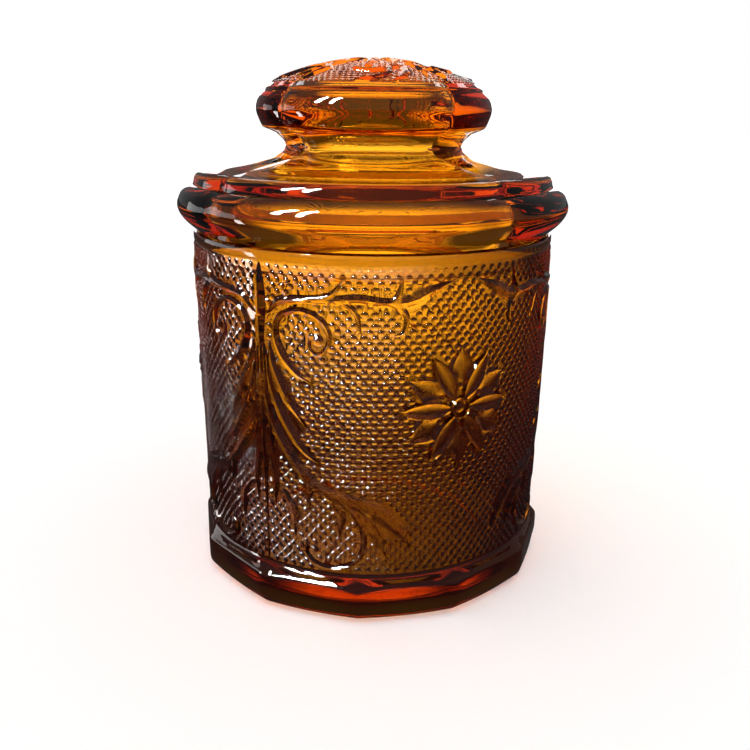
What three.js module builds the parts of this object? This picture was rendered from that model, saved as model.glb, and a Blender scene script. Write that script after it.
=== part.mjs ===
// A lidded glass canister of the apothecary kind: a pressed-glass jar on a twelve-sided foot,
// a lift-off glass lid with a four-lobed rim and a hollow knob, and the soft ring that seals it.
// Millimetres, +Z up, origin at the middle of the foot's underside.
// Angles are measured round +Z from the front (-Y) towards +X.
import * as THREE from 'three';

// ---- Jar ---------------------------------------------------------------------------------
const jarHeight = 97.6;
const bodyRadius = 50.0;         // at the mouth
const bodyTaper = 1.0;           // how much narrower the body is above its foot
const wall = 4.5;
const floorThickness = 6.5;
const floorFillet = 6.0;         // round between the inner wall and the floor

const footSides = 12;
const footCornerAngle = -33.4;   // degrees, one of the foot's corners
const footProud = 3.1;           // corners stand this far outside the body
const footEdgeHeight = 10.2;     // height of the foot's upright faces
const footSlope = 2.4;           // rise of the sloping top of the foot
const footRound = 4.6;           // rounding of the foot's lower edge
const footRoundness = 0.6;       // share of the corners that the rounding takes off the rest ring
const restRingWidth = 11.0;      // flat ring that the jar stands on
const undersideHollow = 1.2;     // how far the middle of the underside is raised

const lipHeight = 2.3;           // thin ring round the mouth
const lipProud = 0.4;

// ---- Lid ---------------------------------------------------------------------------------
const seatGap = 0.3;             // between the lid and the jar's top
const rimLobes = 4;
const creaseAngle = 40;          // degrees, one of the creases between the lobes
const creaseWidth = 5.0;         // degrees
const creaseDepth = 1.3;
const rimOverhang = 4.4;         // the rim's bead stands this far outside the body
const rimBeadHeight = 10.9;
const rimUndercut = 1.2;         // from the seat up to the bead's lower edge
const stepRise = 3.7;            // small rounded step above the bead
const stepInset = 3.1;
const shoulderRise = 6.5;        // from the step up to the neck
const neckRadius = 24.5;
const knobOverhang = 8.0;        // the knob's bead stands this far outside the neck
const knobFlare = 4.2;           // from the neck up to the knob's lower corner
const knobBeadHeight = 10.9;
const knobCornerInset = 2.8;
const domeHeight = 7.7;

const lidWall = 6.0;
const plugWall = 3.5;            // ring under the lid that goes down into the jar
const plugDepth = 7.8;           // below the jar's top
const plugBead = 0.7;            // small bead that keeps the seal on the plug
const throatDraft = 1.5;         // how much the hollow narrows up into the knob
const knobRoof = 11.5;           // glass above the hollow

// ---- Seal --------------------------------------------------------------------------------
const fitGap = 0.3;              // between the seal and the glass on both sides
const sealWidth = 1.4;
const sealFinDepth = 0.6;
const sealFins = 3;

const segments = 60;             // steps round each turned piece
const degree = Math.PI / 180;

const amberGlass = new THREE.MeshStandardMaterial({ color: 0xb8640c, roughness: 0.08, metalness: 0 });
const lidGlass = new THREE.MeshStandardMaterial({ color: 0xc4701a, roughness: 0.08, metalness: 0 });
const clearSoftPlastic = new THREE.MeshStandardMaterial({ color: 0xd8d2c2, roughness: 0.45, metalness: 0 });

const point = (radius, height) => new THREE.Vector2(radius, height);

// A smooth stretch of outline through a few points.
function smooth(points, steps) {
  return new THREE.SplineCurve(points).getPoints(steps);
}

// A quarter of an ellipse between two points: it leaves the first along the radius or the height.
function quarterRound(from, to, leaves, steps) {
  const corner = leaves === 'radius' ? point(to.x, from.y) : point(from.x, to.y);
  const list = [];
  for (let i = 0; i <= steps; i++) {
    const turn = (i / steps) * (Math.PI / 2);
    const alongFirst = Math.sin(turn);
    const alongSecond = 1 - Math.cos(turn);
    list.push(point(
      from.x + (corner.x - from.x) * alongFirst + (to.x - corner.x) * alongSecond,
      from.y + (corner.y - from.y) * alongFirst + (to.y - corner.y) * alongSecond));
  }
  return list;
}

// A solid turned about +Z. The plan function gives the radius of each outline point at an angle.
function turned(outline, firstAngle, plan) {
  const geometry = new THREE.LatheGeometry(outline, segments);
  const position = geometry.getAttribute('position');
  for (let step = 0; step <= segments; step++) {
    const angle = firstAngle * degree + ((step % segments) * 2 * Math.PI) / segments;
    outline.forEach((p, row) => {
      const radius = plan(p, row, angle);
      position.setXYZ(step * outline.length + row, radius * Math.sin(angle), p.y, radius * Math.cos(angle));
    });
  }
  return geometry.rotateX(Math.PI / 2);
}

function namedMesh(name, geometry, material) {
  const mesh = new THREE.Mesh(geometry, material);
  mesh.name = name;
  return mesh;
}

// The jar: foot and body outside, tapered inside with a rounded floor. Only the foot is many-sided.
function jarBody() {
  const bodyRadiusBottom = bodyRadius - bodyTaper;
  const footTop = footEdgeHeight + footSlope;
  const footCorner = bodyRadiusBottom + footProud;
  const flatOuter = footCorner - footRound;
  const insideTop = bodyRadius - wall;
  const insideBottom = bodyRadiusBottom - wall;
  const outside = [
    point(0, undersideHollow),
    point(flatOuter - restRingWidth - undersideHollow, undersideHollow),
    point(flatOuter - restRingWidth, 0),
    ...quarterRound(point(flatOuter, 0), point(footCorner, footRound), 'radius', 4),
    point(footCorner, footEdgeHeight - 1.0),
    point(footCorner - 0.4, footEdgeHeight),
  ];
  const footRows = outside.length;
  outside.push(
    point(bodyRadiusBottom + 0.5, footTop - 0.2),
    point(bodyRadiusBottom, footTop + 0.3),
    point(bodyRadius, jarHeight - lipHeight - 0.4),
    point(bodyRadius + lipProud, jarHeight - lipHeight),
    point(bodyRadius + lipProud, jarHeight - 0.6),
    point(bodyRadius - 0.1, jarHeight));
  const inside = [
    point(insideTop + 0.5, jarHeight),
    point(insideTop, jarHeight - 0.6),
    ...quarterRound(point(insideBottom, floorThickness + floorFillet),
      point(insideBottom - floorFillet, floorThickness), 'height', 4),
    point(0, floorThickness),
  ];
  const side = 2 * Math.PI / footSides;
  const polygon = (angle, height) => {
    const fromCorner = (((angle - footCornerAngle * degree) % side) + side) % side;
    const inset = 1 - Math.cos(side / 2) / Math.cos(fromCorner - side / 2);
    const share = 1 - footRoundness * Math.max(0, 1 - height / footRound);
    return 1 - inset * share;
  };
  const firstFootRow = 3;
  return turned([...outside, ...inside], footCornerAngle, (p, row, angle) => (
    row >= firstFootRow && row < footRows ? p.x * polygon(angle, p.y) : p.x));
}

// The lid: plug and seat below, beaded rim, step, sweeping shoulder, neck and flared knob.
function lid() {
  const seat = jarHeight + seatGap;
  const plugOuter = bodyRadius - wall - 2 * fitGap - sealWidth;
  const plugInner = plugOuter - plugWall;
  const plugBottom = jarHeight - plugDepth;
  const beadLow = seat + rimUndercut;
  const beadTop = beadLow + rimBeadHeight;
  const beadRadius = bodyRadius + rimOverhang;
  const notchRadius = bodyRadius + 0.1;
  const stepTop = beadTop + stepRise;
  const stepRadius = notchRadius - stepInset;
  const neckHeight = stepTop + shoulderRise;
  const sweep = stepRadius - neckRadius;
  const knobRadius = neckRadius + knobOverhang;
  const knobLow = neckHeight + knobFlare;
  const knobTop = knobLow + knobBeadHeight;
  const cornerRadius = knobRadius - knobCornerInset;
  const top = knobTop + domeHeight;
  const below = [
    point(plugInner, plugBottom),
    point(plugOuter + plugBead - 0.2, plugBottom),
    point(plugOuter + plugBead, plugBottom + 0.6),
    point(plugOuter, plugBottom + 1.2),
    point(plugOuter, seat),
    point(bodyRadius - 0.2, seat),
  ];
  const outside = [
    point(bodyRadius + 0.8, beadLow),
    ...smooth([
      point(bodyRadius + 2.6, beadLow + 1.7),
      point(beadRadius - 0.3, beadLow + 0.36 * rimBeadHeight),
      point(beadRadius, beadLow + 0.55 * rimBeadHeight),
      point(beadRadius - 1.1, beadLow + 0.82 * rimBeadHeight),
      point(notchRadius + 1.0, beadTop - 0.3)], 7),
    point(notchRadius, beadTop),
    ...quarterRound(point(notchRadius - 0.3, beadTop + 0.9), point(stepRadius, stepTop), 'height', 4),
    ...smooth([
      point(neckRadius + 0.72 * sweep, stepTop + 0.22 * shoulderRise),
      point(neckRadius + 0.42 * sweep, stepTop + 0.42 * shoulderRise),
      point(neckRadius + 0.16 * sweep, stepTop + 0.62 * shoulderRise),
      point(neckRadius + 0.03 * sweep, stepTop + 0.82 * shoulderRise),
      point(neckRadius, neckHeight)], 8),
    point(neckRadius + 0.7, neckHeight + 0.35 * knobFlare),
    point(cornerRadius - 2.4, knobLow - 0.9),
    point(cornerRadius, knobLow),
    ...smooth([
      point(cornerRadius + 0.9, knobLow + 0.5),
      point(knobRadius - 0.4, knobLow + 0.3 * knobBeadHeight),
      point(knobRadius, knobLow + 0.52 * knobBeadHeight),
      point(knobRadius - 0.8, knobLow + 0.76 * knobBeadHeight),
      point(cornerRadius + 0.5, knobTop - 1.2)], 6),
    point(cornerRadius, knobTop),
  ];
  const dome = [
    point(cornerRadius - 1.6, knobTop + 0.3),
    ...[0.8, 0.6, 0.4, 0.2].map((share) => point(
      cornerRadius * share, knobTop + domeHeight * Math.cos(share * Math.PI / 2) ** 0.85)),
    point(0, top),
  ];
  const throatRadius = neckRadius - lidWall;
  const roof = top - knobRoof;
  const ceiling = stepTop - lidWall + 0.5;
  const hollow = [
    point(0, roof),
    ...quarterRound(point(throatRadius - throatDraft - 5.0, roof),
      point(throatRadius - throatDraft, roof - 4.0), 'radius', 3),
    point(throatRadius, neckHeight - 2.0),
    ...smooth([
      point(throatRadius + 0.8, ceiling + 4.2),
      point(throatRadius + 3.2, ceiling + 2.2),
      point(plugInner - 8.0, ceiling),
      point(plugInner - 2.2, ceiling - 2.2),
      point(plugInner - 0.4, ceiling - 5.2)], 8),
  ];
  const firstOuterRow = below.length;
  const lastOuterRow = below.length + outside.length;
  const lobe = 2 * Math.PI / rimLobes;
  const crease = (angle) => {
    const turns = (angle - creaseAngle * degree) / lobe;
    const away = (turns - Math.round(turns)) * lobe / (creaseWidth * degree);
    return creaseDepth * Math.exp(-away * away);
  };
  const outline = [...below, ...outside, ...dome, ...hollow, below[0]];
  return turned(outline, creaseAngle, (p, row, angle) => (
    row >= firstOuterRow && row < lastOuterRow ? p.x - crease(angle) : p.x));
}

// The seal: a soft ring round the lid's plug, with fins that brush the inside of the mouth.
function lidSeal() {
  const outer = bodyRadius - wall - fitGap;
  const inner = outer - sealWidth;
  const low = jarHeight - plugDepth + 1.2 + fitGap;
  const high = jarHeight - fitGap;
  const finStep = (high - low) / sealFins;
  const outline = [point(inner, low)];
  for (let fin = 0; fin < sealFins; fin++) {
    const foot = low + fin * finStep;
    outline.push(
      point(outer - sealFinDepth, foot),
      point(outer - sealFinDepth, foot + 0.45 * finStep),
      point(outer, foot + 0.7 * finStep),
      point(outer, foot + 0.85 * finStep));
  }
  outline.push(point(outer - sealFinDepth, high), point(inner, high), outline[0]);
  return turned(outline, 0, (p) => p.x);
}

const canister = new THREE.Group();
canister.add(namedMesh('jar_body', jarBody(), amberGlass));
canister.add(namedMesh('lid', lid(), lidGlass));
canister.add(namedMesh('lid_seal', lidSeal(), clearSoftPlastic));

export default canister;
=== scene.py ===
import math

import bpy
import numpy as np
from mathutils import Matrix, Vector
from mathutils.geometry import delaunay_2d_cdt


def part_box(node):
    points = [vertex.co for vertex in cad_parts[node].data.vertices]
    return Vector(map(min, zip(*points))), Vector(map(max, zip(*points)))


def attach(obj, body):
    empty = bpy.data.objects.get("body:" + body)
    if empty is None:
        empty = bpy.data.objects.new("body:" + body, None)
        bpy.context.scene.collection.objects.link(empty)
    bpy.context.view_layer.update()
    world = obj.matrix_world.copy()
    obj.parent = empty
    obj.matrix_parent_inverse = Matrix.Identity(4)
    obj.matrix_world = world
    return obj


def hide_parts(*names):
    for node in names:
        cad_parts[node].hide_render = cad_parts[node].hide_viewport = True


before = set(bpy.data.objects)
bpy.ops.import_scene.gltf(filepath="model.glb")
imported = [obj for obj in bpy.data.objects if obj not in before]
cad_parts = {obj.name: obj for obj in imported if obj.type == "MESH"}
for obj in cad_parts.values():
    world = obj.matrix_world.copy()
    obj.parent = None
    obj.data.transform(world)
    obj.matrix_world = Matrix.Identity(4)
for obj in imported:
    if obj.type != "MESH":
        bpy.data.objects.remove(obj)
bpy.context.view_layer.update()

for thing in bpy.context.selected_objects:
    thing.select_set(False)


# ---- Jar ---------------------------------------------------------------------------------------
# One pressing of amber glass, about 4.5 mm thick, on a twelve-sided foot with a rounded lower edge.
# A three-part mould leaves its pattern three times round the wall: a sheaf with leaf scrolls over
# each mould seam and a twelve-petalled flower between, on a field of round beads.
#
# The pattern comes first. Half of it is laid out flat, 60 degrees wide, then mirrored and repeated.
# Flat sizes are millimetres, with x from the seam and y up the wall.
body_radius = 50.0
body_taper = 1.0
half_width = math.radians(60) * body_radius
seam_angle = math.radians(-33.4)
field_bottom = 13.4
field_top = 94.6
columns = 20
bead_pitch = half_width / columns
bead_rows = 55
bead_radius = 0.93
bead_height = 0.58
bead_clearance = 0.45
field_margin = 0.1
edge_margin = 0.05
snap = 0.02
border_fade = 0.5


def smooth_path(points, step=0.9):
    """A rounded path through a few points, with a point about every step."""
    p = np.array(points, dtype=float)
    p = np.vstack([2 * p[0] - p[1], p, 2 * p[-1] - p[-2]])
    path = [p[1]]
    for a, b, c, d in zip(p[:-3], p[1:-2], p[2:-1], p[3:]):
        count = max(1, int(round(np.linalg.norm(c - b) / step)))
        for t in np.arange(1, count + 1) / count:
            path.append(0.5 * (2 * b + (c - a) * t + (2 * a - 5 * b + 4 * c - d) * t ** 2
                               + (3 * b - a - 3 * c + d) * t ** 3))
    return np.array(path)


class Ridge:
    """A raised stroke with a soft crest, lower where it is narrow.

    Its half widths are spread evenly along it.
    """

    def __init__(self, points, widths, height):
        self.path = smooth_path(points)
        along = np.concatenate([[0], np.cumsum(np.linalg.norm(np.diff(self.path, axis=0), axis=1))])
        self.width = np.interp(along / along[-1], np.linspace(0, 1, len(widths)), widths)
        self.crest = height * np.minimum(1, 0.35 + self.width / max(widths))

    def rise(self, spots):
        """Height at each spot, and how far outside the foot of the stroke it is."""
        rise = np.zeros(len(spots))
        outside = np.full(len(spots), 1e3)
        ends = zip(self.path[:-1], self.path[1:], self.width[:-1], self.width[1:],
                   self.crest[:-1], self.crest[1:])
        for a, b, wide_a, wide_b, crest_a, crest_b in ends:
            way = b - a
            t = np.clip(((spots - a) @ way) / (way @ way), 0, 1)
            away = np.linalg.norm(spots - a - t[:, None] * way, axis=1)
            wide = np.maximum(wide_a + t * (wide_b - wide_a), 0.05)
            share = np.clip(away / wide, 0, 1)
            rise = np.maximum(rise, (crest_a + t * (crest_b - crest_a)) * (1 - share ** 1.7))
            outside = np.minimum(outside, away - wide)
        return rise, outside

    def lines(self):
        """Rows of points along the crest, the two flanks and the two feet."""
        way = np.gradient(self.path, axis=0)
        side = np.stack([-way[:, 1], way[:, 0]], axis=1) / np.linalg.norm(way, axis=1)[:, None]
        return [self.path + side * (self.width * share)[:, None] for share in (0, -0.6, 0.6, -1, 1)]


class Bead:
    """A round bead, in rings of points."""

    def __init__(self, centre, radius, height, sides=7):
        self.centre = np.array(centre, dtype=float)
        self.radius = radius
        self.height = height
        self.sides = sides

    def rise(self, spots):
        away = np.linalg.norm(spots - self.centre, axis=1)
        share = np.clip(away / self.radius, 0, 1)
        return self.height * np.sqrt(1 - share ** 2), away - self.radius

    def lines(self):
        rings = [self.centre[None, :]]
        for share, count in ((0.55, self.sides - 2), (0.999, self.sides)):
            turn = np.arange(count) * 2 * math.pi / count + math.pi / 2
            rings.append(self.centre + np.stack([np.cos(turn), np.sin(turn)], axis=1) * self.radius * share)
        return rings


class Petal:
    """A petal seen from its flower's middle: a raised rim round a hollow.

    The rim and the foot of its outer slope are given as shares of the petal's half width.
    """

    rim_share = 0.8
    foot_share = 1.12

    def __init__(self, centre, angle, reach, widths, rim, hollow):
        self.centre = np.array(centre, dtype=float)
        self.along = np.array([math.cos(angle), math.sin(angle)])
        self.across = np.array([-self.along[1], self.along[0]])
        self.stations = np.linspace(reach[0], reach[1], len(widths))
        self.widths = np.array(widths)
        self.rim = rim
        self.hollow = hollow

    def rise(self, spots):
        t = (spots - self.centre) @ self.along
        s = np.abs((spots - self.centre) @ self.across)
        wide = np.interp(t, self.stations, self.widths, left=0, right=0)
        share = s / np.maximum(wide, 0.02)
        bowl = self.hollow + (self.rim - self.hollow) * np.clip(share / self.rim_share, 0, 1) ** 2.5
        slope = np.clip((self.foot_share - share) / (self.foot_share - self.rim_share), 0, 1)
        ends = np.clip(np.minimum(t - self.stations[0], self.stations[-1] - t) / 0.5 + 0.4, 0, 1)
        rise = np.where(share < self.rim_share, bowl, self.rim * slope ** 0.7) * (wide > 0) * ends
        return rise, np.where(wide > 0, s - self.foot_share * wide, 1e3)

    def lines(self):
        t = smooth_path(np.stack([self.stations, self.widths], axis=1), 1.0)
        rows = []
        for share in (0, -0.45, 0.45, -self.rim_share, self.rim_share, -self.foot_share, self.foot_share):
            rows.append(self.centre + t[:, :1] * self.along + t[:, 1:] * share * self.across)
        return rows


def laid_out(motifs, beads, inside, border, clearance):
    """Points and triangles of a flat layout, with the height of each point.

    Beads nearer to a stroke than the clearance are left out, and so is any point of a stroke that
    lies under another stroke.
    """
    hidden = 0.06
    bead_gap = 0.1
    merged = 1e-4

    def strokes_at(spots, own=None):
        """The highest stroke at each spot, and how far it is outside every stroke."""
        found = [motif.rise(spots) for motif in motifs if motif is not own]
        return np.max([rise for rise, _ in found], axis=0), np.min([gap for _, gap in found], axis=0)

    gaps = strokes_at(np.array([bead.centre for bead in beads]))[1]
    kept = [bead for bead, gap in zip(beads, gaps) if gap > clearance]
    points = [border]
    edges = []
    total = len(border)
    for motif in motifs:
        for number, line in enumerate(motif.lines()):
            keep = inside(line) & (motif.rise(line)[0] > strokes_at(line, motif)[0] - hidden)
            if number == 0 and len(line) > 1:
                chain = np.flatnonzero(keep[:-1] & keep[1:])
                place = np.cumsum(keep) - 1
                edges += [(total + place[i], total + place[i + 1]) for i in chain]
            points.append(line[keep])
            total += int(keep.sum())
    spots = np.vstack([line for bead in kept for line in bead.lines()])
    points.append(spots[inside(spots) & (strokes_at(spots)[1] > bead_gap)])
    points = np.vstack(points)
    flat, _, triangles, _, _, _ = delaunay_2d_cdt([Vector(p) for p in points], edges, [], 0, merged)
    flat = np.array([tuple(p) for p in flat])
    height = np.zeros(len(flat))
    for motif in motifs:
        height = np.maximum(height, motif.rise(flat)[0])
    for bead in kept:
        near = np.flatnonzero(np.abs(flat - bead.centre).max(axis=1) < bead.radius)
        height[near] = np.maximum(height[near], bead.rise(flat[near])[0])
    return flat, triangles, height


def flower(centre):
    """Six hollow petals with pointed ends over six kite-shaped ones, round a double button."""
    parts = []
    for turn in range(6):
        front = math.radians(60 * turn)
        parts.append(Petal(centre, front, reach=(2.4, 15.8),
                           widths=(0.5, 1.8, 2.4, 2.5, 2.15, 1.4, 0.12), rim=1.2, hollow=0.4))
        parts.append(Petal(centre, front + math.radians(30), reach=(6.4, 16.2),
                           widths=(0.7, 2.0, 3.4, 2.8, 1.5, 0.12), rim=0.85, hollow=0.3))
    return parts


def button_ring(centre, radius):
    """The ring round a flower's button: the half on the seam's side, a little past both ends."""
    turns = [math.radians(15 * k) for k in range(-13, 2)]
    return [(centre[0] + radius * math.sin(turn), centre[1] + radius * math.cos(turn)) for turn in turns]


flower_centre = (half_width, 58.6)
scroll_work = [
    # the sheaf on the seam: spear head, stem and the blades that hang beside it
    Ridge([(0, 95.0), (0, 90), (0, 85), (0, 80), (0, 75)], (0.3, 1.3, 2.0, 1.4, 0.8), 1.2),
    Ridge([(0, 76), (0, 60), (0, 40), (0, 26), (0, 14.2)], (0.9, 1.3, 0.8, 0.35, 0.3), 0.9),
    Ridge([(0.9, 73), (1.6, 60), (2.4, 50), (3.4, 43)], (0.5, 0.9, 0.9, 0.1), 0.8),
    Ridge([(1.2, 52), (2.4, 44), (3.2, 37), (2.9, 31)], (0.6, 1.6, 1.5, 0.1), 0.8),
    # the top branch, its leaf and its four hooks
    Ridge([(2.6, 82.4), (5.5, 85.3), (9, 86.1), (14, 86.6), (19, 87.8), (22, 91.2)],
          (0.4, 1.3, 1.2, 1.0, 0.9, 0.2), 1.0),
    Ridge([(12, 86.0), (20, 86.6), (26, 87.1), (32, 86.4), (35, 87.2), (36.6, 92.6)],
          (0.7, 1.1, 1.3, 1.3, 1.1, 0.25), 1.0),
    Ridge([(31, 86.2), (38, 86.6), (43.6, 89.0), (50, 91.6)], (0.7, 1.5, 1.9, 1.0, 0.1), 1.0),
    Ridge([(16, 86.2), (21.4, 86.2), (25.2, 83.8), (26.6, 78.8)], (0.6, 1.0, 0.8, 0.15), 0.85),
    Ridge([(29, 86.4), (34, 86.0), (37.4, 83.2), (36.9, 79.0), (34.8, 78.4)],
          (0.7, 1.1, 0.9, 0.7, 0.3), 0.85),
    # the large scroll: a leaf-shaped tail, over the top and round into its eye
    Ridge([(14, 65.4), (10.2, 67.8), (6.3, 72), (4.5, 77), (5.4, 81), (8.2, 83), (11.8, 83.6),
           (15.4, 82.6), (18, 80.3), (18.9, 77.2), (17.9, 74.2), (15.8, 72.9), (13.9, 74.2), (13.8, 76.2)],
          (0.1, 1.5, 1.4, 1.0, 0.9, 0.9, 0.8, 0.7, 0.5), 1.05),
    Bead((16.1, 76.4), 1.5, 1.1, 8),
    # two long blades and the lower stem
    Ridge([(2.6, 73.5), (4.1, 68), (7.2, 61.6), (12, 54.2)], (0.5, 1.6, 1.9, 0.1), 1.0),
    Ridge([(1.8, 71.5), (2.7, 64.5), (5.1, 58), (8.8, 51.6), (12.2, 47), (15.8, 44.2)],
          (0.5, 1.4, 1.7, 1.6, 0.1), 1.0),
    Ridge([(0.8, 67), (1.4, 60.4), (3.7, 52.8), (7.6, 46.2), (11.8, 40.8), (16.7, 36.8), (22, 34.4)],
          (0.5, 1.3, 1.7, 1.8, 1.7, 1.4), 1.0),
    # the lower leaves and the open loop with its eye
    Ridge([(15, 38.2), (20, 36.4), (24.4, 35.4), (29, 34.9)], (0.9, 1.2, 0.1), 0.9),
    Ridge([(20, 35.2), (27.6, 33.4), (33.2, 30.2), (37, 25.8), (39.6, 21.2)],
          (1.1, 1.9, 2.7, 1.9, 0.1), 1.05),
    Ridge([(17.2, 35.7), (20.4, 33.7), (23.6, 31.2)], (0.8, 0.9, 0.1), 0.8),
    Ridge([(22.5, 33.9), (26.6, 32.1), (31, 29.8)], (0.9, 1.0, 0.1), 0.8),
    Ridge([(20.7, 34.7), (24.5, 31.6), (27, 27.4), (27.6, 22.9), (26.7, 18.8), (23.4, 15.9), (18.8, 14.9),
           (14.6, 15.9), (12.2, 18.4), (12.4, 20.6)], (1.0, 1.0, 0.9, 0.8, 0.8, 0.7, 0.6), 0.95),
    Bead((14.2, 19.8), 1.25, 1.0, 8),
    Ridge([(24.5, 31.7), (28.7, 28), (31.4, 23.8), (33.4, 18.6)], (1.1, 1.9, 1.5, 0.1), 0.9),
    Ridge([(19.8, 34), (21.6, 30.2), (21.2, 24.6)], (0.8, 1.6, 0.1), 0.9),
    Ridge([(12, 39.5), (12.9, 36.4), (13.1, 31.8)], (0.8, 1.3, 0.1), 0.9),
    Ridge([(5.4, 35.4), (8.4, 30.6), (8.9, 22.2)], (0.5, 1.5, 0.1), 0.8),
    # the flower's double button, then its petals
    Bead(flower_centre, 1.5, 1.0, 8),
    Ridge(button_ring(flower_centre, 2.5), (0.5, 0.5), 1.25),
] + flower(flower_centre)

bead_field = []
row_step = (field_top - field_bottom - 2 * bead_radius - 2 * field_margin) / (bead_rows - 1)
for row in range(bead_rows):
    for column in range(columns + 1):
        x = (column + 0.5 * (row % 2)) * bead_pitch
        if x < half_width + snap / 2:
            y = field_bottom + bead_radius + field_margin + row * row_step
            bead_field.append(Bead((x, y), bead_radius, bead_height))


def in_panel(line):
    """Points within the panel. Those on its mirror lines stay on them."""
    line[np.abs(line[:, 0]) < snap, 0] = 0
    line[np.abs(line[:, 0] - half_width) < snap, 0] = half_width
    within = (line[:, 0] >= 0) & (line[:, 0] <= half_width)
    return within & (line[:, 1] > field_bottom + edge_margin) & (line[:, 1] < field_top - edge_margin)


rims = [(x * bead_pitch, z) for x in range(columns + 1) for z in (field_bottom, field_top)]
sides = [(x, z) for z in np.arange(field_bottom + 1, field_top - 0.5, 1.0) for x in (0, half_width)]
panel, panel_faces, panel_rise = laid_out(
    scroll_work, bead_field, in_panel, np.array(rims + sides), bead_clearance)
panel_rise *= np.clip(np.minimum(panel[:, 1] - field_bottom, field_top - panel[:, 1]) / border_fade, 0, 1)

verts = []
faces = []
for copy in range(6):
    mirrored = copy % 2 == 1
    flip = -1 if mirrored else 1
    angle = seam_angle + math.radians(120) * ((copy + 1) // 2) + flip * panel[:, 0] / body_radius
    share = (panel[:, 1] - field_bottom) / (field_top - field_bottom)
    radius = body_radius - body_taper * (1 - share) + panel_rise
    first = len(verts)
    verts += np.stack([radius * np.sin(angle), -radius * np.cos(angle), panel[:, 1]], axis=1).tolist()
    faces += [[first + i for i in (reversed(face) if mirrored else face)] for face in panel_faces]


# The foot, the mouth and the inside are turned from outlines of (radius, height) in millimetres, and
# the foot's round is then drawn in to twelve flats. The patterned wall is joined in between them.
jar_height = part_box("jar_body")[1][2] * 1000
wall = 4.5
foot_corner = 52.1
foot_round = 4.6
foot_flat_top = 11
foot_hollow = 1.2
rest_ring = 11.0
flat_fade = 0.6
floor_height = 6.5
floor_round = 6.0
rest_out = foot_corner - foot_round
rest_in = foot_corner - foot_round - rest_ring
foot_outline = [(0, foot_hollow), (20, foot_hollow), (rest_in - 1.2, foot_hollow), (rest_in - 0.3, 0.5),
                (rest_in, 0), (rest_out - 0.6, 0)]
foot_outline += [(rest_out + foot_round * math.sin(turn), foot_round * (1 - math.cos(turn)))
                 for turn in np.radians((4, 18, 34, 50, 66, 80, 90))]
foot_outline += [(foot_corner + 0.05, 6.5), (foot_corner + 0.02, 8.4), (foot_corner - 0.15, 9.4),
                 (foot_corner - 0.55, 10.1), (foot_corner - 1.2, 10.7)]
bottom_radius = body_radius - body_taper
foot_outline += [(bottom_radius + 0.9, 12.0), (bottom_radius + 0.3, 12.5), (bottom_radius, field_bottom)]
inner_top = body_radius - wall
inner_bottom = bottom_radius - wall
mouth_outline = [(body_radius, field_top), (body_radius, jar_height - 2.9),
                 (body_radius + 0.25, jar_height - 2.6), (body_radius + 0.42, jar_height - 2.1),
                 (body_radius + 0.42, jar_height - 0.8), (body_radius + 0.2, jar_height - 0.25),
                 (body_radius - 0.4, jar_height), (inner_top + 0.9, jar_height),
                 (inner_top + 0.25, jar_height - 0.3), (inner_top, jar_height - 1.0)]
mouth_outline += [(inner_bottom + (inner_top - inner_bottom) * share,
                   floor_height + floor_round + share * (jar_height - 1 - floor_height - floor_round))
                  for share in (0.8, 0.6, 0.4, 0.2, 0)]
mouth_outline += [(inner_bottom - floor_round * (1 - math.cos(turn)),
                   floor_height + floor_round * (1 - math.sin(turn)))
                  for turn in np.radians((18, 36, 54, 72, 90))]
mouth_outline += [(30, floor_height - 0.15), (15, floor_height - 0.25), (0, floor_height - 0.3)]


def turned(name, outline, start, steps):
    """A surface spun once round +Z from an outline of (radius, height) in millimetres."""
    mesh = bpy.data.meshes.new(name)
    across = (math.sin(start), -math.cos(start))
    mesh.from_pydata([(r * across[0] / 1000, r * across[1] / 1000, z / 1000) for r, z in outline],
                     [(i, i + 1) for i in range(len(outline) - 1)], [])
    piece = bpy.data.objects.new(name, mesh)
    bpy.context.collection.objects.link(piece)
    bpy.context.view_layer.objects.active = piece
    piece.select_set(True)
    bpy.ops.object.mode_set(mode="EDIT")
    bpy.ops.mesh.select_all(action="SELECT")
    bpy.ops.mesh.spin(steps=steps, angle=2 * math.pi, center=(0, 0, 0), axis=(0, 0, 1))
    bpy.ops.mesh.select_all(action="SELECT")
    bpy.ops.mesh.remove_doubles(threshold=0.000004)
    bpy.ops.object.mode_set(mode="OBJECT")
    piece.select_set(False)
    return piece


def closed(parts, name, sharp_from=math.radians(42)):
    """Parts joined into one closed skin, faces outwards and smooth but for its sharp edges."""
    for part in parts:
        part.select_set(True)
    bpy.context.view_layer.objects.active = parts[0]
    if len(parts) > 1:
        bpy.ops.object.join()
    piece = bpy.context.view_layer.objects.active
    bpy.ops.object.mode_set(mode="EDIT")
    bpy.ops.mesh.select_all(action="SELECT")
    bpy.ops.mesh.remove_doubles(threshold=0.00001)
    bpy.ops.mesh.normals_make_consistent(inside=False)
    bpy.ops.object.mode_set(mode="OBJECT")
    bpy.ops.object.shade_smooth_by_angle(angle=sharp_from)
    piece.select_set(False)
    piece.name = name
    piece.data.name = name
    return piece


foot = turned("foot", foot_outline, seam_angle, 6 * columns)
side = math.radians(30)
for vertex in foot.data.vertices:
    radius = math.hypot(vertex.co.x, vertex.co.y) * 1000
    height = vertex.co.z * 1000
    if radius > rest_in + 1 and height < foot_flat_top:
        from_corner = (math.atan2(vertex.co.x, -vertex.co.y) - seam_angle) % side
        inset = 1 - math.cos(side / 2) / math.cos(from_corner - side / 2)
        share = 1 - flat_fade * max(0, 1 - height / foot_round)
        vertex.co.xy *= 1 - inset * share

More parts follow.
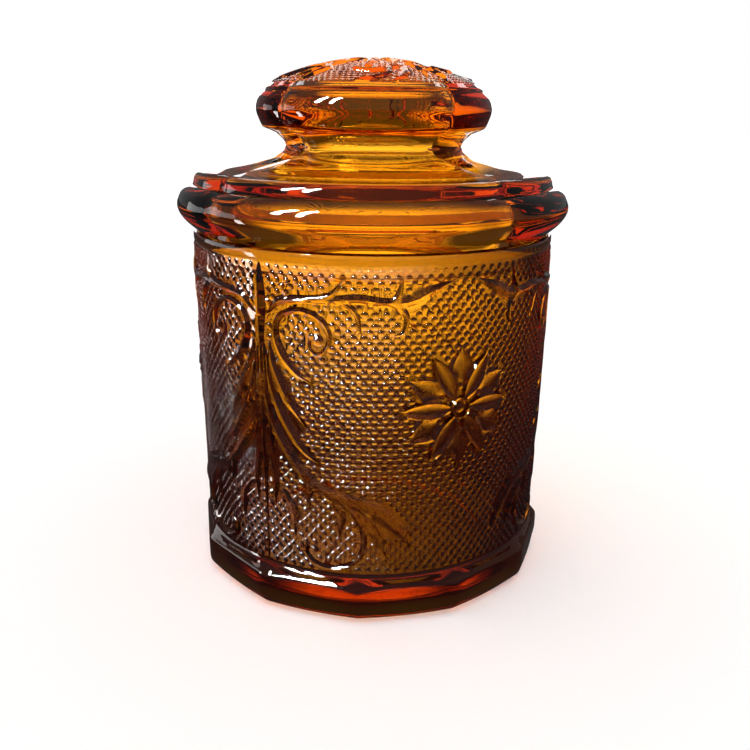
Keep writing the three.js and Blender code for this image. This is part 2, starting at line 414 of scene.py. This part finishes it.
mouth = turned("mouth", mouth_outline, seam_angle, 6 * columns)
pattern_mesh = bpy.data.meshes.new("pattern")
pattern_mesh.from_pydata([(x / 1000, y / 1000, z / 1000) for x, y, z in verts], [], faces)
pattern = bpy.data.objects.new("pattern", pattern_mesh)
bpy.context.collection.objects.link(pattern)
jar_glass = closed([pattern, foot, mouth], "jar_glass")


def fire_polish():
    """Node group: the faint ripple and handling film of pressed glass."""
    group = bpy.data.node_groups.new("fire polished surface", "ShaderNodeTree")
    face = group.interface
    face.new_socket("Ripple size", in_out="INPUT", socket_type="NodeSocketFloat").default_value = 90
    face.new_socket("Film", in_out="INPUT", socket_type="NodeSocketFloat").default_value = 0.05
    face.new_socket("Height", in_out="OUTPUT", socket_type="NodeSocketFloat")
    face.new_socket("Roughness", in_out="OUTPUT", socket_type="NodeSocketFloat")
    node = group.nodes.new
    link = group.links.new
    given = node("NodeGroupInput")
    result = node("NodeGroupOutput")
    place = node("ShaderNodeTexCoord")
    ripple = node("ShaderNodeTexNoise")
    ripple.inputs["Detail"].default_value = 2
    link(place.outputs["Object"], ripple.inputs["Vector"])
    link(given.outputs["Ripple size"], ripple.inputs["Scale"])
    link(ripple.outputs["Fac"], result.inputs["Height"])
    film = node("ShaderNodeTexNoise")
    film.inputs["Scale"].default_value = 38
    film.inputs["Detail"].default_value = 5
    link(place.outputs["Object"], film.inputs["Vector"])
    rub = node("ShaderNodeMapRange")
    rub.inputs["From Min"].default_value = 0.35
    rub.inputs["From Max"].default_value = 0.8
    rub.inputs["To Min"].default_value = 0.01
    link(film.outputs["Fac"], rub.inputs["Value"])
    link(given.outputs["Film"], rub.inputs["To Max"])
    link(rub.outputs["Result"], result.inputs["Roughness"])
    return group


polish = fire_polish()


def amber(name, ripple_size, ripple_depth, film, tint, darkness):
    """Amber glass: clear shader, with its colour from how far light goes through it."""
    material = bpy.data.materials.new(name)
    material.use_nodes = True
    nodes = material.node_tree.nodes
    link = material.node_tree.links.new
    shader = nodes["Principled BSDF"]
    shader.inputs["Base Color"].default_value = (1.0, 0.97, 0.92, 1)
    shader.inputs["Transmission Weight"].default_value = 1.0
    shader.inputs["IOR"].default_value = 1.51
    surface = nodes.new("ShaderNodeGroup")
    surface.node_tree = polish
    surface.inputs["Ripple size"].default_value = ripple_size
    surface.inputs["Film"].default_value = film
    bump = nodes.new("ShaderNodeBump")
    bump.inputs["Distance"].default_value = ripple_depth
    link(surface.outputs["Height"], bump.inputs["Height"])
    link(bump.outputs["Normal"], shader.inputs["Normal"])
    link(surface.outputs["Roughness"], shader.inputs["Roughness"])
    depth = nodes.new("ShaderNodeVolumeAbsorption")
    depth.inputs["Color"].default_value = tint
    depth.inputs["Density"].default_value = darkness
    link(depth.outputs["Volume"], nodes["Material Output"].inputs["Volume"])
    return material


amber_tint = (0.925, 0.735, 0.02, 1)
jar_amber = amber("jar amber glass", ripple_size=120, ripple_depth=0.00004, film=0.03, tint=amber_tint,
                  darkness=490)
jar_glass.data.materials.append(jar_amber)
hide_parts("jar_body")
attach(jar_glass, "jar")


# ---- Lid ---------------------------------------------------------------------------------------
# One pressing of amber glass with the jar's tint, in a lighter copy that absorbs less than the jar's so
# that the lid reads brighter: painted light. It has a hollow plug that drops into the mouth, a heavy
# four-lobed rim, a stepped shoulder, a neck and a flared knob.
# It is turned from one outline, drawn in at the creases between its lobes, and closed by the dome.
seat = jar_height + 0.3
plug_inner = 40.0
plug_outer = 43.5
plug_low = jar_height - 7.8
bead_low = seat + 1.2
bead_span = 10.9
bead_out = body_radius + 4.4
notch_height = bead_low + bead_span
notch_out = body_radius + 0.1
step_top = notch_height + 3.7
step_out = notch_out - 3.1
neck_out = 24.5
neck_top = step_top + 6.5
knob_corner = 29.7
knob_out = 32.5
knob_span = 10.9
knob_low = neck_top + 4.2
knob_top = knob_low + knob_span
dome_out = knob_corner - 1.6
dome_rise = 7.0
throat = 18.5
ceiling = step_top - 5.5
hollow_roof = knob_top + dome_rise - 11.5
sweep = step_out - neck_out


def dome_height(radius):
    """Height of the plain dome at a distance from its middle."""
    share = np.clip(radius / knob_corner, 0, 1)
    return knob_top + dome_rise * np.cos(share * math.pi / 2) ** 0.85


inside_lid = [(0, hollow_roof), (6, hollow_roof), (throat - 6.5, hollow_roof)]
inside_lid += [(throat - 6.5 + 5 * math.sin(turn), hollow_roof - 4 * (1 - math.cos(turn)))
               for turn in np.radians((22, 45, 68, 90))]
inside_lid += [(throat - 0.6, neck_top + 2), (throat, neck_top - 2)]
inside_lid += smooth_path([(throat + 0.8, ceiling + 4.2), (throat + 3.2, ceiling + 2.2),
                           (plug_inner - 8, ceiling), (plug_inner - 2.2, ceiling - 2.2),
                           (plug_inner - 0.4, ceiling - 5.2)], 2).tolist()
inside_lid += [(plug_inner, plug_low + 0.4), (plug_inner + 0.4, plug_low), (plug_outer + 0.3, plug_low),
               (plug_outer + 0.7, plug_low + 0.5), (plug_outer + 0.5, plug_low + 1.0),
               (plug_outer, plug_low + 1.4), (plug_outer, seat - 0.3), (plug_outer + 0.3, seat),
               (body_radius - 0.5, seat)]
rim_outline = smooth_path([(body_radius + 0.5, bead_low - 0.2), (body_radius + 2.6, bead_low + 1.7),
                           (bead_out - 0.3, bead_low + 0.36 * bead_span),
                           (bead_out, bead_low + 0.55 * bead_span),
                           (bead_out - 1.1, bead_low + 0.82 * bead_span),
                           (notch_out + 1.0, notch_height - 0.3)], 1.0).tolist()
step_outline = [(notch_out, notch_height)]
step_outline += [(step_out + (notch_out - 0.3 - step_out) * math.cos(turn),
                  notch_height + 0.9 + 2.8 * math.sin(turn))
                 for turn in np.radians((0, 20, 40, 58, 74, 90))]
shoulder = smooth_path([(step_out - 0.12 * sweep, step_top + 0.5),
                        (neck_out + 0.72 * sweep, step_top + 1.4),
                        (neck_out + 0.42 * sweep, step_top + 2.7),
                        (neck_out + 0.16 * sweep, step_top + 4.0),
                        (neck_out + 0.03 * sweep, step_top + 5.3), (neck_out, neck_top)], 1.2).tolist()
flare = [(neck_out + 0.25, neck_top + 0.8), (neck_out + 0.9, neck_top + 1.7),
         (knob_corner - 2.4, knob_low - 0.9), (knob_corner - 0.8, knob_low - 0.3)]
knob = smooth_path([(knob_corner, knob_low), (knob_corner + 1.1, knob_low + 0.6),
                    (knob_out - 0.4, knob_low + 0.3 * knob_span),
                    (knob_out, knob_low + 0.52 * knob_span),
                    (knob_out - 0.8, knob_low + 0.76 * knob_span),
                    (knob_corner + 0.5, knob_top - 1.2)], 0.9).tolist()
knob += [(knob_corner + 0.15, knob_top - 0.5), (knob_corner - 0.1, knob_top - 0.1),
         (knob_corner - 0.6, knob_top + 0.1), (dome_out, float(dome_height(dome_out)))]

lid_steps = 180
crease_angle = math.radians(40)
crease_depth = 1.5
crease_width = math.radians(5)
lobe = math.radians(90)
rim_from = 45
shoulder_from = neck_out - 1.0


def lobed(piece):
    """Draws a lid piece in at the four creases between its lobes."""
    for vertex in piece.data.vertices:
        radius = math.hypot(vertex.co.x, vertex.co.y) * 1000
        height = vertex.co.z * 1000
        on_top = height > step_top - 0.1 and radius > shoulder_from
        outside = height > seat + 0.5 and (radius > rim_from or on_top)
        if outside or height > knob_top + 0.3:
            turns = (math.atan2(vertex.co.x, -vertex.co.y) - crease_angle) / lobe
            away = (turns - round(turns)) * lobe / crease_width
            fade = min(1, (radius / dome_out) ** 3)
            vertex.co.xy *= 1 - crease_depth * fade * math.exp(-abs(away) ** 1.4) / max(radius, 1)


skirt_outline = inside_lid + rim_outline + step_outline + shoulder + flare + knob
skirt = turned("skirt", skirt_outline, crease_angle, lid_steps)
lobed(skirt)


def quarter_work(angle):
    """A leaf scroll for one quarter of the dome, laid out along +X and turned by the angle."""
    cos = math.cos(angle)
    sin = math.sin(angle)

    def placed(points):
        """The same points, turned to their quarter."""
        return [(x * cos - y * sin, x * sin + y * cos) for x, y in points]

    return [
        Ridge(placed([(2.6, 0), (6, 0.3), (9.5, 0), (13, -0.2)]), (0.5, 1.5, 1.2, 0.2), 0.8),
        Ridge(placed([(2, 2), (5, 5), (9, 7.2), (14, 7.2), (18.5, 4.6), (20.6, 0.6), (19, -3),
                      (15.6, -3.6)]),
              (0.5, 1.1, 1.3, 1.3, 1.2, 1.0, 0.8, 0.6), 0.9),
        Ridge(placed([(12, 7.4), (17, 9.6), (21.6, 9.8), (26.4, 7)]), (0.8, 1.6, 1.2, 0.2), 0.9),
        Ridge(placed([(17.5, 5.4), (22, 5.2), (25.6, 2.4), (26.6, -2.2)]), (0.7, 1.4, 1.3, 0.2), 0.85),
        Ridge(placed([(6, 5.8), (8.4, 9.8), (12.8, 13.4), (18.8, 15.4)]), (0.7, 1.4, 1.5, 0.2), 0.9),
        Ridge(placed([(10, 11.6), (11, 15.4), (14.4, 19), (17.4, 20.4)]), (0.5, 1.2, 1.1, 0.2), 0.8),
        Bead(placed([(15.8, -0.2)])[0], 1.2, 0.8, 8),
    ]


dome_work = [Bead((0, 0), 1.8, 0.9, 10)]
for quarter in range(4):
    dome_work += quarter_work(math.radians(90 * quarter) + crease_angle + lobe / 2)

stipple = []
stipple_radius = 0.66
stipple_height = 0.25
stipple_rings = 18
ring_pitch = 1.5
dot_pitch = 1.6
stipple_clearance = 0.3
for ring in range(1, stipple_rings + 1):
    radius = ring * ring_pitch
    count = round(2 * math.pi * radius / dot_pitch)
    for step in range(count):
        angle = 2 * math.pi * (step + 0.5 * (ring % 2)) / count
        spot = (radius * math.cos(angle), radius * math.sin(angle))
        stipple.append(Bead(spot, stipple_radius, stipple_height, 6))


def in_dome(line):
    """Points inside the dome's rim."""
    return np.hypot(line[:, 0], line[:, 1]) < dome_out - 0.35


dome_turns = np.arange(lid_steps) * 2 * math.pi / lid_steps + crease_angle
dome_rim = dome_out * np.stack([np.sin(dome_turns), -np.cos(dome_turns)], axis=1)
dome_flat, dome_faces, dome_relief = laid_out(dome_work, stipple, in_dome, dome_rim, stipple_clearance)
dome_radius = np.hypot(dome_flat[:, 0], dome_flat[:, 1])
lean = (dome_height(dome_radius) - dome_height(dome_radius + 0.1)) / 0.1
spread = 1 + dome_relief * lean / np.sqrt(1 + lean ** 2) / np.maximum(dome_radius, 1)
dome_z = dome_height(dome_radius) + dome_relief / np.sqrt(1 + lean ** 2)
dome_points = np.column_stack([dome_flat * spread[:, None], dome_z]) / 1000
dome_mesh = bpy.data.meshes.new("dome")
dome_mesh.from_pydata(dome_points.tolist(), [], dome_faces)
dome = bpy.data.objects.new("dome", dome_mesh)
bpy.context.collection.objects.link(dome)
lobed(dome)
lid_glass = closed([skirt, dome], "lid_glass")
# Painted light: the lid's copy of the amber absorbs less than the jar's, so that the lid reads lighter.
lid_amber_lightened = amber("lid amber glass lightened", ripple_size=70, ripple_depth=0.00008, film=0.03, tint=amber_tint,
                  darkness=210)
lid_glass.data.materials.append(lid_amber_lightened)
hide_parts("lid")
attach(lid_glass, "lid")


# ---- Seal --------------------------------------------------------------------------------------
# A soft milky ring moulded with three lips, stretched over the lid's plug. The lips press lightly on
# the inside of the mouth, so that the lid closes tight and lifts off with a small pull.
seal_out = inner_top - 0.3
seal_in = seal_out - 1.4
seal_band = seal_out - 0.6
seal_low = plug_low + 1.5
seal_high = jar_height - 0.3
lips = 3
lip_step = (seal_high - seal_low) / lips
seal_outline = [(seal_in, seal_high), (seal_in, seal_low + 0.2), (seal_in + 0.2, seal_low)]
for lip in range(lips):
    base = seal_low + lip * lip_step
    seal_outline += [(seal_out - 0.75, base), (seal_band, base + 0.15), (seal_band, base + 0.4 * lip_step),
                     (seal_out - 0.3, base + 0.55 * lip_step), (seal_out - 0.05, base + 0.68 * lip_step),
                     (seal_out, base + 0.78 * lip_step), (seal_out - 0.1, base + 0.88 * lip_step)]
seal_outline += [(seal_band, seal_high), (seal_in, seal_high)]
seal = closed([turned("seal", seal_outline, 0, 120)], "seal_ring")
soft = bpy.data.materials.new("soft milky plastic")
soft.use_nodes = True
node = soft.node_tree.nodes.new
link = soft.node_tree.links.new
soft_shader = soft.node_tree.nodes["Principled BSDF"]
soft_shader.inputs["Base Color"].default_value = (0.97, 0.96, 0.92, 1)
soft_shader.inputs["Transmission Weight"].default_value = 0.25
soft_shader.inputs["IOR"].default_value = 1.49
place = node("ShaderNodeTexCoord")
grain = node("ShaderNodeTexNoise")
grain.inputs["Scale"].default_value = 260
grain.inputs["Detail"].default_value = 4
link(place.outputs["Object"], grain.inputs["Vector"])
rubbed = node("ShaderNodeMapRange")
rubbed.inputs["From Min"].default_value = 0.3
rubbed.inputs["From Max"].default_value = 0.7
rubbed.inputs["To Min"].default_value = 0.28
rubbed.inputs["To Max"].default_value = 0.46
link(grain.outputs["Fac"], rubbed.inputs["Value"])
link(rubbed.outputs["Result"], soft_shader.inputs["Roughness"])
moulded = node("ShaderNodeBump")
moulded.inputs["Distance"].default_value = 0.00003
link(grain.outputs["Fac"], moulded.inputs["Height"])
link(moulded.outputs["Normal"], soft_shader.inputs["Normal"])
seal.data.materials.append(soft)
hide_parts("lid_seal")
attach(seal, "seal")


# ---- Floor, lights and camera ------------------------------------------------------------------
# A pale floor and background. Light that comes through the glass is darker near the table and
# brighter above it, and the glass mirrors a dim room with a paned window and a low card at its left.
# The dark near the table, on the floor seen through the glass and on the tent's low band, is painted
# shade, and the floor seen in the glass is a painted dark reflection.


def two_windows():
    """Node group: how bright the room is along a direction, most to the front and the back."""
    group = bpy.data.node_groups.new("two windows", "ShaderNodeTree")
    group.interface.new_socket("Direction", in_out="INPUT", socket_type="NodeSocketVector")
    group.interface.new_socket("Light", in_out="OUTPUT", socket_type="NodeSocketColor")
    node = group.nodes.new
    link = group.links.new
    given = node("NodeGroupInput")
    result = node("NodeGroupOutput")
    level = node("ShaderNodeVectorMath")
    level.operation = "MULTIPLY"
    level.inputs[1].default_value = (1, 1, 0)
    link(given.outputs["Direction"], level.inputs[0])
    unit = node("ShaderNodeVectorMath")
    unit.operation = "NORMALIZE"
    link(level.outputs["Vector"], unit.inputs[0])
    split = node("ShaderNodeSeparateXYZ")
    link(unit.outputs["Vector"], split.inputs["Vector"])
    size = node("ShaderNodeMath")
    size.operation = "ABSOLUTE"
    link(split.outputs["Y"], size.inputs[0])
    light = node("ShaderNodeMapRange")
    light.interpolation_type = "SMOOTHSTEP"
    light.inputs["From Min"].default_value = 0.55
    light.inputs["From Max"].default_value = 1.0
    light.inputs["To Min"].default_value = 0.14
    light.inputs["To Max"].default_value = 2.6
    link(size.outputs["Value"], light.inputs["Value"])
    link(light.outputs["Result"], result.inputs["Light"])
    return group


# Painted shade: the dark colours that the glass sees near the table, on the tent's low band and on the
# floor.
painted_low_shade = (0.04, 0.013, 0.012, 1)
painted_floor_shade = (0.03, 0.009, 0.008, 1)
mirrored_room = 0.17
tent_radius = 0.1
tent_low = 0.0005
tent_high = 0.1905
shade_low = 0.01
shade_high = 0.095
window_aim = (0, 0, 0.08)
panel_aim = (0, 0, 0.1)

bpy.ops.mesh.primitive_plane_add(size=8)
floor = bpy.context.object
floor.name = "floor"
floor.select_set(False)
paper = bpy.data.materials.new("pale floor with painted shade")
paper.use_nodes = True
node = paper.node_tree.nodes.new
link = paper.node_tree.links.new
paper_shader = paper.node_tree.nodes["Principled BSDF"]
paper_shader.inputs["Base Color"].default_value = (0.93, 0.93, 0.93, 1)
paper_shader.inputs["Roughness"].default_value = 1.0
paper_shader.inputs["Specular IOR Level"].default_value = 0.0
paper_shader.inputs["Emission Color"].default_value = (1, 1, 1, 1)
paper_shader.inputs["Emission Strength"].default_value = 0.14
# Painted shade: seen through the glass the floor is a flat dark emission, and seen in the glass it is a dim
# emission, a painted dark reflection. To the camera it stays pale.
rays = node("ShaderNodeLightPath")
floor_shade_emission = node("ShaderNodeEmission")
floor_shade_emission.inputs["Color"].default_value = painted_floor_shade
painted_floor_reflection = node("ShaderNodeEmission")
painted_floor_reflection.inputs["Strength"].default_value = 0.05
glossy_mix = node("ShaderNodeMixShader")
link(rays.outputs["Is Glossy Ray"], glossy_mix.inputs["Fac"])
link(paper_shader.outputs["BSDF"], glossy_mix.inputs[1])
link(painted_floor_reflection.outputs["Emission"], glossy_mix.inputs[2])
through_mix = node("ShaderNodeMixShader")
link(rays.outputs["Is Transmission Ray"], through_mix.inputs["Fac"])
link(glossy_mix.outputs["Shader"], through_mix.inputs[1])
link(floor_shade_emission.outputs["Emission"], through_mix.inputs[2])
link(through_mix.outputs["Shader"], paper.node_tree.nodes["Material Output"].inputs["Surface"])
floor.data.materials.append(paper)

# Only light that has come through the glass sees the tent round it. Its low band is dark, painted shade
# near the table, and it is bright above.
bpy.ops.mesh.primitive_cylinder_add(vertices=96, radius=tent_radius, depth=tent_high - tent_low,
                                    location=(0, 0, (tent_low + tent_high) / 2), end_fill_type="NOTHING")
tent = bpy.context.object
tent.name = "light_tent"
tent.select_set(False)
tent.visible_camera = False
tent.visible_diffuse = False
tent.visible_glossy = False
tent.visible_shadow = False
glow = bpy.data.materials.new("tent glow")
glow.use_nodes = True
node = glow.node_tree.nodes.new
link = glow.node_tree.links.new
geometry = node("ShaderNodeNewGeometry")
facing = node("ShaderNodeGroup")
facing.node_tree = two_windows()
link(geometry.outputs["Position"], facing.inputs["Direction"])
split = node("ShaderNodeSeparateXYZ")
link(geometry.outputs["Position"], split.inputs["Vector"])
rise = node("ShaderNodeMapRange")
rise.interpolation_type = "SMOOTHSTEP"
rise.inputs["From Min"].default_value = shade_low
rise.inputs["From Max"].default_value = shade_high
link(split.outputs["Z"], rise.inputs["Value"])
shade = node("ShaderNodeMix")
shade.data_type = "RGBA"
shade.inputs["A"].default_value = painted_low_shade
link(rise.outputs["Result"], shade.inputs["Factor"])
link(facing.outputs["Light"], shade.inputs["B"])
tent_light = node("ShaderNodeEmission")
link(shade.outputs["Result"], tent_light.inputs["Color"])
link(tent_light.outputs["Emission"], glow.node_tree.nodes["Material Output"].inputs["Surface"])
tent.data.materials.append(glow)

world = bpy.data.worlds.new("studio")
bpy.context.scene.world = world
world.use_nodes = True
node = world.node_tree.nodes.new
link = world.node_tree.links.new
sky = world.node_tree.nodes["Background"]
sky.inputs["Color"].default_value = (1, 1, 1, 1)
rays = node("ShaderNodeLightPath")
place = node("ShaderNodeTexCoord")
facing = node("ShaderNodeGroup")
facing.node_tree = bpy.data.node_groups["two windows"]
link(place.outputs["Generated"], facing.inputs["Direction"])
through = node("ShaderNodeMapRange")
through.inputs["To Min"].default_value = 1.0
link(rays.outputs["Is Transmission Ray"], through.inputs["Value"])
link(facing.outputs["Light"], through.inputs["To Max"])
mirrored = node("ShaderNodeMapRange")
mirrored.inputs["To Max"].default_value = mirrored_room
link(through.outputs["Result"], mirrored.inputs["To Min"])
link(rays.outputs["Is Glossy Ray"], mirrored.inputs["Value"])
link(mirrored.outputs["Result"], sky.inputs["Strength"])


def soft_box(name, place, aim, size, power):
    """A rectangular light, seen only in the glass."""
    light = bpy.data.lights.new(name, "AREA")
    light.shape = "RECTANGLE"
    light.size, light.size_y = size
    light.energy = power
    lamp = bpy.data.objects.new(name, light)
    lamp.location = place
    lamp.rotation_euler = (Vector(aim) - Vector(place)).to_track_quat("-Z", "Y").to_euler()
    lamp.visible_camera = False
    lamp.visible_diffuse = False
    bpy.context.collection.objects.link(lamp)
    return lamp


for pane, side_step in (("left", -0.075), ("right", 0.075)):
    pane_place = (-0.6 + side_step, -0.5 - side_step, 0.75)
    soft_box("window_" + pane, pane_place, window_aim, (0.08, 0.45), 40).visible_transmission = False
    soft_box("daylight_" + pane, pane_place, window_aim, (0.13, 0.34), 4).visible_glossy = False
for name, place, size, power in (("back_panel", (0, 1.2, 0.2), (0.9, 0.4), 2.5),
                                 ("left_panel", (-1.2, 0.3, 0.1), (1.0, 0.5), 2.5),
                                 ("low_card", (-0.24, -0.07, 0.045), (0.024, 0.07), 0.07),
                                 ("top_panel", (0, 0.9, 0.75), (0.9, 0.25), 1.6)):
    panel_light = soft_box(name, place, panel_aim, size, power)
    panel_light.visible_transmission = False

camera_data = bpy.data.cameras.new("camera")
camera_data.lens = 41.4
camera_data.sensor_width = 36
camera_data.shift_x = -0.002
camera = bpy.data.objects.new("camera", camera_data)
camera.location = (0.0, -0.2489, 0.1312)
camera.rotation_euler = (math.radians(90 - 17.48), math.radians(-0.65), math.radians(-0.16))
bpy.context.collection.objects.link(camera)
bpy.context.scene.camera = camera
bpy.context.scene.view_settings.view_transform = "Standard"
bpy.context.scene.cycles.transmission_bounces = 24
bpy.context.scene.cycles.max_bounces = 32
